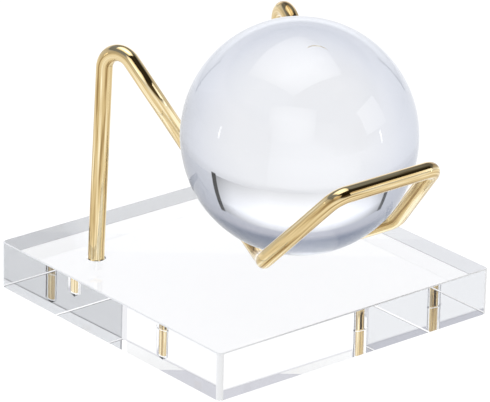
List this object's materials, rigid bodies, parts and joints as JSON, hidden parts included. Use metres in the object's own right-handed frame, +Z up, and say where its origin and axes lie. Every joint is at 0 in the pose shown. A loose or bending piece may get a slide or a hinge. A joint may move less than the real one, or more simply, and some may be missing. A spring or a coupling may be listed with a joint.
{
  "type": "crystal ball on display stand",
  "caption": "Clear solid crystal ball resting in a bent gold-coloured wire cradle whose ends stand in sockets in a square clear acrylic block.",
  "frame": {"origin": "centre of the acrylic block's bottom face", "axes": "+Z up; -Y is the front, where the cradle's front bar is; +X is to the right when the object is seen from the front; X = 0 is the plane of symmetry"},
  "size_m": [0.104, 0.1168, 0.0957],
  "materials": {
    "acrylic": "clear cast acrylic, polished on every face, with finely broken edges",
    "gold_wire": "polished gold-coloured round wire with faint drawing lines along it",
    "crystal": "solid clear crystal glass, polished"
  },
  "bodies": {
    "base": {"acrylic_base": "acrylic"},
    "wire": {"wire_cradle": "gold_wire"},
    "ball": {"crystal_ball": "crystal"}
  },
  "joints": [
    {"name": "wire_lift", "type": "slide", "parent": "base", "child": "wire", "axis": [0, 0, 1], "range_m": [0, 0.012]},
    {"name": "ball_lift", "type": "slide", "parent": "wire", "child": "ball", "axis": [0, 0, 1], "range_m": [0, 0.06]}
  ]
}
